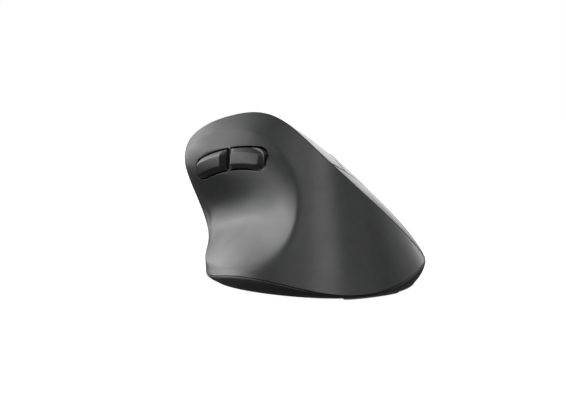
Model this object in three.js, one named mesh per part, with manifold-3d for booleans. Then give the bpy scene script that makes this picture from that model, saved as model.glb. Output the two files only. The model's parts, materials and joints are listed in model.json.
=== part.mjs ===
// Vertical computer mouse with a thumb scoop, millimetres, +Z up, +Y forward (away from the wrist).
// The origin is at the middle of the footprint, on the desk.
import * as THREE from 'three';
import { mergeVertices } from 'three/addons/utils/BufferGeometryUtils.js';
import Module from 'manifold-3d';

const wasm = await Module();
wasm.setup();

// ---------------------------------------------------------------- driving dimensions
const ORIGIN = [2.6, 5.2, 0]; // middle of the footprint in the design frame used below
const WALL = 2; // shell thickness
const GAP = 0.35; // clearance between neighbouring pieces
const SEAM = 0.5; // width of the joint between the wall and the upper panel
const SEAM_FRONT = 1; // added to it towards the front, where the keys dip furthest
const HULL_Z = 0.8; // underside of the hull, standing on the glide feet
const UNDERCUT = 1.2; // slant of the panel's edge against that of the wall, so that a key can dip
const FLOOR_Z = 3.2; // inside floor of the hull
const FOOT_SCALE = 0.9; // underside outline against the seam outline

// Control stations around the body, from the rear right corner by the left side to the front right.
// wall: foot of the wall; ridge: joint of wall and upper panel; rail: right foot of the upper panel.
// bulge: push outward at 1/4, 1/2 and 3/4 of the wall; rise: slope of the panel as it leaves the ridge.
const STATIONS = [
  { wall: [36.8, -29, 9.8], ridge: [36.8, -29, 9.8], rail: [36.8, -29, 9.8], bulge: [0, 0, 0], rise: 0 },
  { wall: [28.5, -38, 10.2], ridge: [29.5, -33, 15], rail: [40.5, -23, 9.5], bulge: [0, 0, 0], rise: 0.1 },
  { wall: [14, -48, 6.7], ridge: [16, -35.5, 25.5], rail: [42.5, -15, 8.5], bulge: [0, 0, 0], rise: 0.08 },
  { wall: [-6, -51, 2.4], ridge: [1.5, -31.5, 39], rail: [43.5, -8, 7.5], bulge: [0, 0, 0], rise: 0 },
  { wall: [-23, -43, 2.4], ridge: [-8.5, -17, 54], rail: [43.5, -3, 7], bulge: [0, 0, 0], rise: -0.09 },
  { wall: [-34, -25, 6.5], ridge: [-11, 1, 66], rail: [43.5, 3, 7], bulge: [0, 0, 1], rise: -0.16 },
  { wall: [-39, -4, 7.4], ridge: [-13, 17, 69.5], rail: [43, 9, 7], bulge: [0, 2, 4], rise: -0.2 },
  { wall: [-38, 14, 3.9], ridge: [-17, 33, 67], rail: [42, 15, 7], bulge: [0, 4, 6], rise: -0.2 },
  { wall: [-30.7, 31, 3.5], ridge: [-22.3, 47, 62], rail: [41, 20, 7], bulge: [0, 5, 9], rise: -0.2 },
  { wall: [-18.5, 42.5, 5], ridge: [-25.5, 58, 51], rail: [39, 25, 7], bulge: [0, 3, 6], rise: -0.2 },
  { wall: [-5, 51, 4.5], ridge: [-12, 61, 36], rail: [37.5, 29, 6.5], bulge: [0, 0, 0], rise: -0.15 },
  { wall: [14, 53, 4.5], ridge: [12, 57, 22], rail: [36, 33, 6.5], bulge: [0, 0, 0], rise: -0.1 },
  { wall: [28, 46, 5], ridge: [26, 49, 12], rail: [35, 36, 6.5], bulge: [0, 0, 0], rise: 0 },
  { wall: [34, 38, 6], ridge: [34, 38, 6], rail: [34, 38, 6], bulge: [0, 0, 0], rise: 0 },
];
const PANEL_LEAVE = 0.3; // first panel handle, as a share of the level run from ridge to rail
const PANEL_DROP = 0.5; // last panel handle, as a share of the drop from ridge to rail
const PANEL_TUCK = 0.02; // how far that handle leans back towards the ridge

// Thumb scoop: an oval hollow in the left wall, pressed in along +X. Its rear half bulges low down.
const SCOOP = {
  y: 22, z: 34.5, ry: 40, rz: 26.5,
  shallow: 1.5, deep: 14.25, deepTo: -0.6, shallowFrom: 0.9, // depth, low down and high up
  rear: 0.95, slant: 0.49, bend: 0.3, // weights of the rear outline
  crisp: 0.014, soft: 0.08, // softness of the edge, in front and behind
};

// Thumb buttons: a slightly arched band on the wall above the scoop.
const BAND = { half: 4.2, top: 50.4, peak: 10, fall: 0.0062, proud: 1.6, round: 5, ledge: 0.45 };
const BACK_BUTTON = { y0: 2.6, y1: 22.2 };
const FORWARD_BUTTON = { y0: 24.6, y1: 43.6 };
const BUTTON_BACK = -20; // inner face of both thumb buttons
const TACT = 6; // side of a tact switch

// Upper works (keys and wheel) stand on a plane tilted to the right and turned a little to the left.
const TILT = { x: 7, y: 24, sink: 4, roll: THREE.MathUtils.degToRad(42), yaw: THREE.MathUtils.degToRad(6) };
const SPLIT_Y = -44; // rear end of the keys, on the tilted plane
const SPINE_HALF = 5.2; // half width of the strip between the keys
const SLOT = { side: 0.8, y0: -9.4, y1: 12.8 }; // wheel slot in the spine
const STAYS = [-32, 18.6]; // stays under the spine
const KEY_RIGHT = 33; // right edge of the right key
const KEY_GAP = 0.6;
const PIN = { y: -38.5, z: -12.5, r: 1, x0: -12.4, x1: 12.8, play: 0.3 }; // hinge pin of both keys
const EYE = { left: -9, right: 9.4, w: 5, l: 4.4 }; // eyes of the keys on the pin
const WHEEL = { r: 11.5, rim: 8.8, bore: 1.8, width: 7, z: -5.6 };
const AXLE = { r: 1.5, x0: -7.4, x1: 10.4 };
const ENCODER_X = 10.2;
const CRADLE = { z0: -10.8, z1: -8.3, w: 11, l: 30 };
const GUIDES = [[-4.8, -13.5], [4.8, 13.5]]; // posts that the cradle slides on
const SPRING = { d: 3, wire: 0.5, y: 13.5, turns: 4, slack: 0.7 };
const WHEEL_SWITCH = { y: -13.5, top: -13.4, plunger: -12.2 };
const DPI = { y: -26, r: 2.6, proud: 0.15, stem: -12.4 };
const KEY_BOARD = { top: -17, thick: 1.4, w: 33.2, l: 46.2, x: 3.8, y: -6.9 };
const BOARD_SCREWS = [[-10, -22], [14, -24]]; // key board on the inner frame
const PLATE = { z0: -22.6, z1: -21.2 }; // inner frame
const SWITCH = { left: -9.5, right: 16.6, y: 6.4, w: 5.8, l: 12.8, h: 6.5, plunger: -9.6 };
const CABLE = { x: 9.5, y: -14, w: 7, thick: 0.4 };
const SOLDER = 0.3; // gap between a board and what sits on it

// Lower works, upright in the hull.
const HULL_CENTRE = new THREE.Vector3(2, 2, 0);
const BAY = { x: -10.5, y: 3, w: 16, l: 56, wall: 1.2, top: 17.6 }; // battery bay
const DOOR = { y0: BAY.y - BAY.l / 2, thick: 1.3, lip: 0.7, z: 0.7 };
const CELL = { r: 7.1, l: 49.2, z: 9.9 };
const POCKET = { x: 1.6, y: -14, w: 7, l: 20, top: 15 }; // receiver pocket beside the bay
const MAIN_BOARD = { z: 7, thick: 1.6 };
const BOARD_OUTLINE = [[8, -13], [27, -13], [31.5, -8], [31.5, 27], [26, 34], [1.5, 34], [1.5, -2], [8, -2]];
const BOARD_POSTS = [[5, 31], [27, 28], [15, -10]];
const PALM_BOSS = [35, 4];
const REAR_BOSS = [-29, -12];
const FRONT_BOSS = [16, 42.5];
const SHELL_SCREWS = [PALM_BOSS, REAR_BOSS, FRONT_BOSS];
const BOSS_R = 2.6;
const PILOT_R = 1.1;
const FRAME_SCREWS = [[2.5, 37], [9.2, -17]];
const SCREW_HEAD = { r: 2.1, h: 1.3 };
const SENSOR = { x: 14, y: 6 };
const POWER = { x: 24, y: -8, travel: 3 };
const FOOT_THICK = 0.5;
const FAR = 90; // long enough to pass right through the body

// Legs of the inner frame: x, y, lower end, upper end.
const LEGS = [
  [-12.5, 35.6, FLOOR_Z + GAP, 37], [2.5, 37, FLOOR_Z + GAP, 23.2],
  [9.2, -17, FLOOR_Z + GAP, 22.3], [-8, -17, BAY.top + BAY.wall + GAP, 37.6],
];

// ---------------------------------------------------------------- materials
const material = (color, roughness, metalness = 0) => (
  new THREE.MeshStandardMaterial({ color, roughness, metalness })
);
const BODY = material(0x2c2d2f, 0.45);
const KEYS = material(0x2b2c2e, 0.4);
const HULL = material(0x1c1d1f, 0.5);
const RUBBER = material(0x151515, 0.8);
const INNER = material(0x3a3c40, 0.6);
const BOARD = material(0x1f5a35, 0.5);
const CHIP = material(0x121214, 0.45);
const STEEL = material(0xb9bcc0, 0.3, 1);
const GLIDE = material(0xd9d9d6, 0.5);
const CLEAR = material(0xcfd8dc, 0.1);
const LABEL = material(0x6f7f8f, 0.4);
const RED = material(0x9a2a22, 0.5);

// ---------------------------------------------------------------- small helpers
const clamp01 = (x) => Math.min(1, Math.max(0, x));
const smooth = (a, b, x) => {
  const t = clamp01((x - a) / (b - a));
  return t * t * (3 - 2 * t);
};
const vec = (a) => new THREE.Vector3(...a);
const range = (a, b, n) => Array.from({ length: n + 1 }, (_, i) => a + ((b - a) * i) / n);

const root = new THREE.Group();
const design = new THREE.Group();
design.position.set(-ORIGIN[0], -ORIGIN[1], -ORIGIN[2]);
root.add(design);

function add(name, geometry, look, parent = design) {
  const mesh = new THREE.Mesh(geometry, look);
  mesh.name = name;
  parent.add(mesh);
  return mesh;
}

function solid(geometry) {
  const bare = geometry.clone();
  bare.deleteAttribute('normal');
  bare.deleteAttribute('uv');
  const merged = mergeVertices(bare, 1e-4);
  const vertProperties = Float32Array.from(merged.attributes.position.array);
  const triVerts = Uint32Array.from(merged.index.array);
  return new wasm.Manifold(new wasm.Mesh({ numProp: 3, vertProperties, triVerts }));
}

function geometryOf(body) {
  const mesh = body.getMesh();
  const geometry = new THREE.BufferGeometry();
  geometry.setAttribute('position', new THREE.BufferAttribute(Float32Array.from(mesh.vertProperties), 3));
  geometry.setIndex(Array.from(mesh.triVerts));
  return geometry;
}

function indexed(positions, index) {
  const geometry = new THREE.BufferGeometry();
  geometry.setAttribute('position', new THREE.Float32BufferAttribute(positions, 3));
  geometry.setIndex(index);
  return geometry;
}

const join = (...shapes) => shapes.map(solid).reduce((a, b) => a.add(b));
const cut = (body, ...tools) => tools.map(solid).reduce((a, b) => a.subtract(b), body);

const box = (w, l, h, x = 0, y = 0, z = 0) => new THREE.BoxGeometry(w, l, h).translate(x, y, z);

// Box between two levels z0 and z1.
const slab = (w, l, z0, z1, x, y) => box(w, l, z1 - z0, x, y, (z0 + z1) / 2);

// Upright cylinder between two levels.
const post = (r, z0, z1, x, y, sides = 16) => (
  new THREE.CylinderGeometry(r, r, z1 - z0, sides).rotateX(Math.PI / 2).translate(x, y, (z0 + z1) / 2)
);

// Cylinder along X between x0 and x1.
const bar = (r, x0, x1, y, z, sides = 16) => (
  new THREE.CylinderGeometry(r, r, x1 - x0, sides).rotateZ(Math.PI / 2).translate((x0 + x1) / 2, y, z)
);

// Solid of revolution about +Z; the profile is a list of [radius, height] that starts and ends on the axis.
const turned = (profile, sides = 24) => (
  new THREE.LatheGeometry(profile.map((p) => new THREE.Vector2(...p)), sides).rotateX(Math.PI / 2)
);

// ---------------------------------------------------------------- body surface
// Weights of the clamped uniform cubic B-spline through the stations.
function splineWeights(count, u) {
  const spans = count - 3;
  const knots = [0, 0, 0, ...range(0, 1, spans), 1, 1, 1];
  const at = Math.min(Math.max(u, 0), 1 - 1e-9);
  let weights = knots.slice(0, -1).map((k, i) => (at >= k && at < knots[i + 1] ? 1 : 0));
  for (let degree = 1; degree <= 3; degree += 1) {
    const share = (i) => {
      const width = knots[i + degree] - knots[i];
      return width > 0 ? (at - knots[i]) / width : 0;
    };
    weights = weights.slice(0, -1).map((w, i) => {
      const right = knots[i + degree + 1] - knots[i + 1] > 0 ? 1 - share(i + 1) : 0;
      return share(i) * w + right * weights[i + 1];
    });
  }
  return weights;
}

function bernstein(degree, v) {
  let factor = 1;
  return Array.from({ length: degree + 1 }, (_, i) => {
    const value = factor * v ** i * (1 - v) ** (degree - i);
    factor = (factor * (degree - i)) / (i + 1);
    return value;
  });
}

// Level unit vector pointing out of the wall foot at station i.
function stationOutward(i) {
  const before = vec(STATIONS[Math.max(i - 1, 0)].wall);
  const after = vec(STATIONS[Math.min(i + 1, STATIONS.length - 1)].wall);
  const run = after.sub(before).setZ(0).normalize();
  const out = new THREE.Vector3(run.y, -run.x, 0);
  return out.dot(vec(STATIONS[i].wall)) < 0 ? out.negate() : out;
}

const WALL_NET = STATIONS.map((s, i) => {
  const foot = vec(s.wall);
  const ridge = vec(s.ridge);
  const out = stationOutward(i);
  const middle = [1, 2, 3].map((k) => foot.clone().lerp(ridge, k / 4).addScaledVector(out, s.bulge[k - 1]));
  return [foot, ...middle, ridge];
});

const PANEL_NET = STATIONS.map((s) => {
  const ridge = vec(s.ridge);
  const rail = vec(s.rail);
  const level = rail.clone().sub(ridge).setZ(0);
  const leave = ridge.clone().addScaledVector(level, PANEL_LEAVE);
  leave.z += s.rise * level.length();
  const arrive = rail.clone().addScaledVector(level, -PANEL_TUCK);
  arrive.z += PANEL_DROP * (ridge.z - rail.z);
  return [ridge, leave, arrive, rail];
});

function netPoint(net, u, v) {
  const across = bernstein(net[0].length - 1, v);
  const point = new THREE.Vector3();
  splineWeights(net.length, u).forEach((w, i) => {
    if (w !== 0) net[i].forEach((p, j) => point.addScaledVector(p, w * across[j]));
  });
  return point;
}

function scoopDepth(y, z, u) {
  const p = (y - SCOOP.y) / SCOOP.ry;
  const q = (z - SCOOP.z) / SCOOP.rz;
  const outline = p < 0 ? SCOOP.rear + SCOOP.slant * q - SCOOP.bend * q * q : 1;
  const inside = 1 - outline * p * p - q * q;
  const soft = SCOOP.crisp + SCOOP.soft * smooth(-0.45, -1, p);
  const high = smooth(SCOOP.deepTo, SCOOP.shallowFrom, q);
  const depth = SCOOP.deep + (SCOOP.shallow - SCOOP.deep) * high;
  const ends = (1 - smooth(0.7, 0.8, u)) * smooth(0.2, 0.32, u);
  if (inside > soft) return depth * ends * inside;
  if (inside < -soft) return 0;
  return (depth * ends * (inside + soft) ** 2) / (4 * soft);
}

function wallPoint(u, v) {
  const point = netPoint(WALL_NET, u, v);
  point.x += scoopDepth(point.y, point.z, u);
  return point;
}

const panelPoint = (u, v) => netPoint(PANEL_NET, u, v);

// Outward unit normal, taken a little inside the pointed ends of the patch.
function outward(surface, u, v) {
  const step = 2e-3;
  const uu = Math.min(Math.max(u, 0.012), 0.988);
  const vv = Math.min(Math.max(v, 0.004), 0.996);
  const along = surface(uu + step, vv).sub(surface(uu - step, vv));
  const up = surface(uu, vv + step).sub(surface(uu, vv - step));
  return up.cross(along).normalize();
}

// ---------------------------------------------------------------- shells of the body
const taper = (u) => WALL * Math.min(1, 0.2 + Math.min(u, 1 - u) / 0.07);

// Step from the outer skin to the inner skin. On the ridge both shells share the same slanted joint.
function ridgeInward(u) {
  const a = outward(wallPoint, u, 0.985);
  const b = outward(panelPoint, u, 0.015);
  const middle = a.clone().add(b).normalize();
  return middle.multiplyScalar(-taper(u) / Math.max(0.55, middle.dot(a)));
}

function footInward(surface, u, v) {
  const normal = outward(surface, u, v);
  const level = normal.clone().setZ(0).normalize();
  return level.multiplyScalar(-taper(u) / Math.max(0.6, level.dot(normal)));
}

function wallInward(u, v) {
  const step = outward(wallPoint, u, v).multiplyScalar(-taper(u));
  step.lerp(ridgeInward(u), smooth(0.86, 1, v));
  return step.lerp(footInward(wallPoint, u, 0.02), 1 - smooth(0, 0.12, v));
}

function panelInward(u, v) {
  const step = outward(panelPoint, u, v).multiplyScalar(-taper(u));
  step.lerp(ridgeInward(u), UNDERCUT * (1 - smooth(0, 0.12, v)));
  return step.lerp(footInward(panelPoint, u, 0.98), smooth(0.9, 1, v));
}

// Closed shell over a grid of (u, v): outer skin, inner skin and the rim between them.
function gridShell(us, vs, surface, inward) {
  const positions = [];
  const index = [];
  const rows = vs.length;
  const half = us.length * rows;
  const id = (i, j, inner) => i * rows + j + (inner ? half : 0);
  us.forEach((u) => vs.forEach((v) => positions.push(...surface(u, v(u)).toArray())));
  us.forEach((u) => vs.forEach((v) => positions.push(...surface(u, v(u)).add(inward(u, v(u))).toArray())));
  const quad = (a, b, c, d) => index.push(a, b, c, a, c, d);
  const last = us.length - 1;
  const top = rows - 1;
  for (let i = 0; i < last; i += 1) {
    for (let j = 0; j < top; j += 1) {
      quad(id(i, j), id(i, j + 1), id(i + 1, j + 1), id(i + 1, j));
      quad(id(i, j, 1), id(i + 1, j, 1), id(i + 1, j + 1, 1), id(i, j + 1, 1));
    }
    quad(id(i, 0), id(i + 1, 0), id(i + 1, 0, 1), id(i, 0, 1));
    quad(id(i, top), id(i, top, 1), id(i + 1, top, 1), id(i + 1, top));
  }
  for (let j = 0; j < top; j += 1) {
    quad(id(0, j), id(0, j, 1), id(0, j + 1, 1), id(0, j + 1));
    quad(id(last, j), id(last, j + 1), id(last, j + 1, 1), id(last, j, 1));
  }
  return indexed(positions, index);
}

// Share of v that a given distance takes up at one end of the patch.
function share(surface, u, v0, v1, distance) {
  const length = surface(u, v0).distanceTo(surface(u, v1)) / Math.abs(v1 - v0);
  return Math.min(0.3, distance / Math.max(length, 1));
}

// Steps around the body. The shells stop just short of the pointed corners.
const END = 0.004;
const AROUND = [
  END, ...range(0.015, 0.2, 6), ...range(0.2, 0.72, 19).slice(1),
  ...range(0.72, 0.985, 8).slice(1), 1 - END,
];

function wallShell() {
  const upper = (u) => 1 - share(wallPoint, u, 0.97, 1, SEAM / 2);
  const rows = [0, 0.06, 0.12, 0.19, 0.28, 0.37, 0.47, 0.57, 0.66, 0.75, 0.83, 0.91, 1];
  return gridShell(AROUND, rows.map((r) => (u) => r * upper(u)), wallPoint, wallInward);
}

function panelShell() {
  const joint = (u) => SEAM / 2 + SEAM_FRONT * smooth(0.5, 0.8, u);
  const lower = (u) => share(panelPoint, u, 0, 0.03, joint(u));
  const rows = [0, 0.05, 0.13, 0.25, 0.38, 0.51, 0.64, 0.76, 0.86, 0.94, 1];
  return gridShell(AROUND, rows.map((r) => (u) => lower(u) + r * (1 - lower(u))), panelPoint, panelInward);
}

// ---------------------------------------------------------------- tilted plane of the upper works
// (u, v) whose surface point matches two wanted coordinates, by Newton steps.
function locate(surface, coordinates, wanted, start) {
  let [u, v] = start;
  for (let k = 0; k < 12; k += 1) {
    const h = 1e-4;
    const here = coordinates(surface(u, v));
    const du = coordinates(surface(u + h, v)).map((c, i) => (c - here[i]) / h);
    const dv = coordinates(surface(u, v + h)).map((c, i) => (c - here[i]) / h);
    const error = [wanted[0] - here[0], wanted[1] - here[1]];
    const det = du[0] * dv[1] - du[1] * dv[0];
    u = Math.min(0.995, Math.max(0.005, u + (error[0] * dv[1] - error[1] * dv[0]) / det));
    v = Math.min(1, Math.max(0, v + (du[0] * error[1] - du[1] * error[0]) / det));
  }
  return surface(u, v);
}

const panelHeight = locate(panelPoint, (p) => [p.x, p.y], [TILT.x, TILT.y], [0.5, 0.36]).z;

function tiltMatrix() {
  const forward = new THREE.Vector3(-Math.sin(TILT.yaw), Math.cos(TILT.yaw), 0);
  const level = new THREE.Vector3(Math.cos(TILT.yaw), Math.sin(TILT.yaw), 0);
  const up = new THREE.Vector3(0, 0, 1);
  const right = level.clone().multiplyScalar(Math.cos(TILT.roll)).addScaledVector(up, -Math.sin(TILT.roll));
  const out = level.clone().multiplyScalar(Math.sin(TILT.roll)).addScaledVector(up, Math.cos(TILT.roll));
  const height = panelHeight - TILT.sink;
  return new THREE.Matrix4().makeBasis(right, forward, out).setPosition(TILT.x, TILT.y, height);
}

const TO_BODY = tiltMatrix();
const TO_TILT = TO_BODY.clone().invert();
const upper = new THREE.Group();
upper.applyMatrix4(TO_BODY);
design.add(upper);

const tilted = (geometry) => geometry.applyMatrix4(TO_BODY);

// Height of the upper panel over a place on the tilted plane.
function skin(x, y) {
  const flat = (p) => {
    const q = p.clone().applyMatrix4(TO_TILT);
    return [q.x, q.y];
  };
  const start = [0.5 + y * 0.006, 0.36 + x * 0.012];
  return locate(panelPoint, flat, [x, y], start).applyMatrix4(TO_TILT).z;
}

// ---------------------------------------------------------------- upper panel pieces
// Cutting block on the tilted plane, from (x0, y0) to (x1, y1), deep enough to pass right through the shell.
const block = (x0, x1, y0, y1) => (
  tilted(box(x1 - x0, y1 - y0, FAR, (x0 + x1) / 2, (y0 + y1) / 2, 0))
);

// Post under a key that meets the switch, and the eye that turns on the hinge pin.
function keyFeet(pushX, eyeX) {
  const inside = skin(pushX, SWITCH.y) - WALL * 0.6;
  const push = post(1.5, SWITCH.plunger + SOLDER, inside, pushX, SWITCH.y, 10);
  const eyeTop = skin(eyeX, PIN.y) - WALL * 0.7;
  const eye = slab(EYE.w, EYE.l, PIN.z - EYE.l / 2, eyeTop, eyeX, PIN.y);
  return [tilted(push), tilted(eye)];
}

const pinHole = (x) => tilted(bar(PIN.r + PIN.play, x - EYE.w, x + EYE.w, PIN.y, PIN.z, 12));

// One key: its part of the panel, the foot over the switch and the eye on the pin.
function key(panel, x0, x1, pushX, eyeX) {
  const plate = panel.intersect(solid(block(x0, x1, SPLIT_Y + KEY_GAP, FAR)));
  return geometryOf(cut(plate.add(join(...keyFeet(pushX, eyeX))), pinHole(eyeX)));
}

function buildPanel() {
  const panel = solid(panelShell());
  const edge = SPINE_HALF + KEY_GAP;
  add('left_key', key(panel, -FAR, -edge, SWITCH.left, EYE.left), KEYS);
  add('right_key', key(panel, edge, KEY_RIGHT, SWITCH.right, EYE.right), KEYS);

  const slotHalf = WHEEL.width / 2 + SLOT.side;
  const slot = block(-slotHalf, slotHalf, SLOT.y0, SLOT.y1);
  const dpi = tilted(post(DPI.r + GAP, DPI.stem + 6, FAR, 0, DPI.y, 20));
  const spine = panel.intersect(solid(block(-SPINE_HALF, SPINE_HALF, SPLIT_Y + KEY_GAP, FAR)));
  add('key_spine', geometryOf(cut(spine.add(join(...spineStays())), slot, dpi)), BODY);

  const rear = solid(block(-FAR, FAR, -FAR, SPLIT_Y));
  const rail = solid(block(KEY_RIGHT + KEY_GAP, FAR, SPLIT_Y - 1, FAR));
  const boss = post(BOSS_R, FLOOR_Z + GAP, 22, ...PALM_BOSS);
  const hole = post(PILOT_R, FLOOR_Z - 1, FLOOR_Z + 9, ...PALM_BOSS, 12);
  const palm = cut(panel.intersect(rear.add(rail)).add(solid(boss)), hole);
  add('palm_cover', geometryOf(palm), BODY);
}

// Two stays that hold the spine down on the inner frame.
function spineStays() {
  return STAYS.map((y) => {
    const top = skin(0, y) - WALL * 0.6;
    return tilted(slab(6, 2, PLATE.z1 + GAP, top, 0, y));
  });
}

// ---------------------------------------------------------------- thumb buttons
const bandMiddle = (y) => BAND.top - BAND.fall * (y - BAND.peak) ** 2;

// x of the wall skin at a given y and z.
const wallX = (y, z) => locate(wallPoint, (p) => [p.y, p.z], [y, z], [0.52 + (y - 26) * 0.006, z / 68]).x;

// Half height of a button outline, rounded at its free end.
function outlineHalf(button, y) {
  const at = Math.min(button.y1, Math.max(button.y0, y));
  const middle = (BACK_BUTTON.y1 + FORWARD_BUTTON.y0) / 2;
  const freeEnd = button.y0 > middle ? button.y1 : button.y0;
  const reach = Math.min(1, Math.abs(at - freeEnd) / BAND.round);
  return BAND.half * (0.45 + 0.55 * Math.sqrt(1 - (1 - reach) ** 2));
}

// Solid over a button outline grown by `grow`; face(y, z, share, end) gives the x of its outer side,
// where end runs from 0 to 1 over the first 2 mm of each end.
function bandSolid(button, grow, face, back, across) {
  const steps = 10;
  const end = 2;
  const ys = range(button.y0 - grow, button.y1 + grow, steps);
  const rows = across.length;
  const outline = ys.map((y) => across.map((share) => (
    { y, share, z: bandMiddle(y) + share * (outlineHalf(button, y) + grow) }
  ))).flat();
  const outer = outline.flatMap(({ y, z, share }) => {
    const near = Math.min((y - ys[0]) / end, (ys.at(-1) - y) / end, 1);
    return [face(y, z, share, near), y, z];
  });
  const positions = [...outer, ...outline.flatMap(({ y, z }) => [back, y, z])];
  const index = [];
  const id = (i, j, inner) => i * rows + j + (inner ? outline.length : 0);
  const quad = (a, b, c, d) => index.push(a, b, c, a, c, d);
  const top = rows - 1;
  for (let i = 0; i < steps; i += 1) {
    for (let j = 0; j < top; j += 1) {
      quad(id(i, j), id(i, j + 1), id(i + 1, j + 1), id(i + 1, j));
      quad(id(i, j, 1), id(i + 1, j, 1), id(i + 1, j + 1, 1), id(i, j + 1, 1));
    }
    quad(id(i, 0), id(i + 1, 0), id(i + 1, 0, 1), id(i, 0, 1));
    quad(id(i, top), id(i, top, 1), id(i + 1, top, 1), id(i + 1, top));
  }
  for (let j = 0; j < top; j += 1) {
    quad(id(0, j), id(0, j, 1), id(0, j + 1, 1), id(0, j + 1));
    quad(id(steps, j), id(steps, j + 1), id(steps, j + 1, 1), id(steps, j, 1));
  }
  return indexed(positions, index);
}

function thumbButton(button) {
  const face = (y, z, share, near) => (
    wallX(y, z) - BAND.proud * Math.min(1, (1 - Math.abs(share)) / BAND.ledge) * near
  );
  const ledge = 1 - BAND.ledge;
  return bandSolid(button, -0.1, face, BUTTON_BACK, [-1, -ledge, 0, ledge, 1]);
}

const buttonWindow = (button) => bandSolid(button, GAP, () => -60, -10, [-1, 1]);

// ---------------------------------------------------------------- side shell
function buildSide() {
  const [frontX, frontY] = FRONT_BOSS;
  const bossTop = 13;
  const bosses = [
    post(BOSS_R, FLOOR_Z + GAP, bossTop + 2.5, ...REAR_BOSS, 12),
    post(BOSS_R, FLOOR_Z + 1.4, bossTop, ...FRONT_BOSS, 12),
    slab(2, 7, FLOOR_Z + 2.8, bossTop, frontX, frontY + 3.6), // web from the boss to the wall
  ];
  const holes = [REAR_BOSS, FRONT_BOSS].map((place) => post(PILOT_R, FLOOR_Z - 1, 11, ...place, 10));
  const body = bosses.reduce((a, b) => a.add(solid(b)), solid(wallShell()));
  const windows = [BACK_BUTTON, FORWARD_BUTTON].map(buttonWindow);
  add('side_shell', geometryOf(cut(body, ...holes, ...windows)), BODY);
  add('back_button', thumbButton(BACK_BUTTON), KEYS);
  add('forward_button', thumbButton(FORWARD_BUTTON), KEYS);
}

// ---------------------------------------------------------------- hull
// Points of the seam around the hull: along the wall foot, then back along the right rail.
const SEAM_LOOP = [
  ...AROUND.map((u) => wallPoint(u, 0)),
  ...AROUND.toReversed().map((u) => panelPoint(u, 1)),
];

function seamLoop(scale, height) {
  return SEAM_LOOP.map((p) => {
    const q = p.clone().sub(HULL_CENTRE).multiplyScalar(scale).add(HULL_CENTRE);
    return q.setZ(height(p.z - GAP));
  });
}

// Solid made of rings, closed at both ends by a fan to the middle.
function ringSolid(rings) {
  const count = rings[0].length;
  const positions = rings.flat().flatMap((p) => p.toArray());
  const index = [];
  const middles = [rings[0], rings.at(-1)].map((ring) => [HULL_CENTRE.x, HULL_CENTRE.y, ring[0].z]);
  positions.push(...middles[0], ...middles[1]);
  const first = rings.length * count;
  for (let k = 0; k < count; k += 1) {
    const next = (k + 1) % count;
    for (let r = 0; r < rings.length - 1; r += 1) {
      const a = r * count;
      const b = a + count;
      index.push(a + k, b + next, b + k, a + k, a + next, b + next);
    }
    const end = (rings.length - 1) * count;
    index.push(first, next, k);
    index.push(first + 1, end + k, end + next);
  }
  return indexed(positions, index);
}

function hullBlank() {
  const side = [0.35, 0.7, 1].map((t) => {
    const scale = 1 - (1 - FOOT_SCALE) * t * t;
    return seamLoop(scale, (z) => z * (1 - t) + HULL_Z * t);
  });
  return ringSolid([
    seamLoop(FOOT_SCALE - 0.02, () => FLOOR_Z),
    seamLoop(FOOT_SCALE - 0.01, (z) => z),
    seamLoop(1, (z) => z),
    ...side,
  ]);
}

// Battery door: a flat plate with a wider lip that slides in grooves of the hull.
function doorSection(grow, y0, y1) {
  const width = BAY.w + 1.2 + 2 * grow;
  const y = (y0 + y1) / 2;
  const plate = slab(width, y1 - y0, DOOR.z - 2 * grow, DOOR.z + DOOR.lip, BAY.x, y);
  const lip = slab(width + 1.6, y1 - y0, DOOR.z + 0.5 - grow, DOOR.z + DOOR.thick + grow, BAY.x, y);
  return join(plate, lip);
}

function buildHull() {
  const walls = 2 * BAY.wall;
  const under = FLOOR_Z - 0.5;
  const blank = hullBlank();
  const bayBox = slab(BAY.w + walls, BAY.l + walls, under, BAY.top + BAY.wall, BAY.x, BAY.y);
  const pocketTop = POCKET.top + BAY.wall;
  const pocketBox = slab(POCKET.w + walls, POCKET.l + walls, under, pocketTop, POCKET.x, POCKET.y);
  const boards = BOARD_POSTS.map((place) => post(2.4, under, MAIN_BOARD.z - GAP, ...place, 12));
  const bay = slab(BAY.w, BAY.l, 0, BAY.top, BAY.x, BAY.y);
  const pocket = slab(POCKET.w + 4, POCKET.l, 2.4, POCKET.top, POCKET.x - 2, POCKET.y);
  const counterbores = [...SHELL_SCREWS, ...FRAME_SCREWS].flatMap((place) => [
    post(SCREW_HEAD.r + GAP, 0, HULL_Z + SCREW_HEAD.h, ...place, 16),
    post(1.2, 0, FLOOR_Z + 1, ...place, 12),
  ]);
  const boardHoles = BOARD_POSTS.map((place) => post(0.95, MAIN_BOARD.z - 3.2, MAIN_BOARD.z, ...place, 10));
  const openings = [
    post(4.6, 0, FLOOR_Z + 1, SENSOR.x, SENSOR.y, 24),
    slab(5, 10, 0, FLOOR_Z + 1, POWER.x, POWER.y),
  ];
  const hull = cut(
    join(blank, bayBox, pocketBox, ...boards),
    bay, pocket, ...counterbores, ...boardHoles, ...openings,
  );
  add('base_shell', geometryOf(hull.subtract(doorSection(GAP, DOOR.y0, FAR))), HULL);
  const door = doorSection(0, DOOR.y0 + GAP, FAR).intersect(solid(blank));
  add('battery_door', geometryOf(door), HULL);
}

// ---------------------------------------------------------------- scroll wheel, on the tilted plane
const sideways = (geometry) => geometry.rotateY(Math.PI / 2).translate(0, 0, WHEEL.z);

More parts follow.
